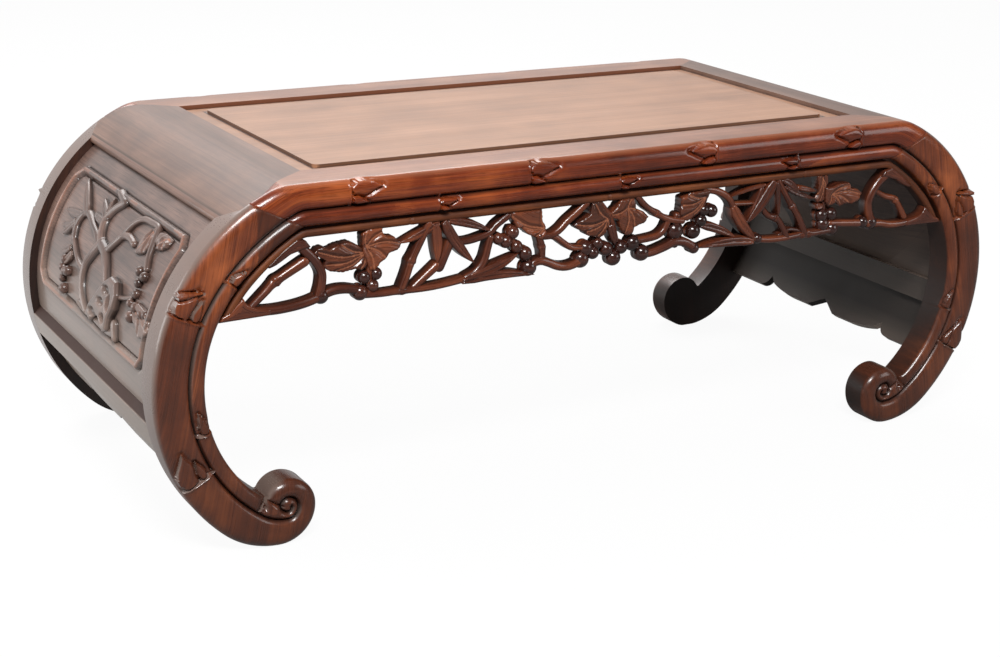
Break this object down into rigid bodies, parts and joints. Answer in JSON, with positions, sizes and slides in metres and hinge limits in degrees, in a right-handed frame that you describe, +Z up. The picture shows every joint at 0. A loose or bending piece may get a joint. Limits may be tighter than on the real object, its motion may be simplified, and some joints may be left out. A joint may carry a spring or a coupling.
{
  "type": "kang table",
  "caption": "Low hardwood kang table with bow-shaped scroll legs, framed panel top bent over the ends, curved side panels and openwork bamboo aprons.",
  "frame": {"origin": "on the floor under the middle of the table", "axes": "+X along the table to its right end, +Y from the front to the rear, +Z up"},
  "size_m": [1.0572, 0.47, 0.376],
  "materials": {
    "frame_wood": "polished dark red-brown rosewood with orange grain",
    "top_wood": "polished rosewood, glossy",
    "side_wood": "polished rosewood with low relief",
    "carved_wood": "carved and waxed rosewood",
    "inner_wood": "unpolished rosewood"
  },
  "bodies": {
    "root": {"front_rail": "frame_wood", "rear_rail": "frame_wood", "left_shoulder_board": "top_wood", "right_shoulder_board": "top_wood", "top_panel": "top_wood", "top_batten_left": "inner_wood", "top_batten_middle": "inner_wood", "top_batten_right": "inner_wood", "front_left_leg": "frame_wood", "front_right_leg": "frame_wood", "rear_left_leg": "frame_wood", "rear_right_leg": "frame_wood", "left_side_panel": "side_wood", "right_side_panel": "side_wood", "left_lower_rail": "frame_wood", "right_lower_rail": "frame_wood", "left_skirt": "side_wood", "right_skirt": "side_wood", "front_apron": "carved_wood", "rear_apron": "carved_wood", "corner_pegs": "inner_wood"}
  },
  "joints": []
}
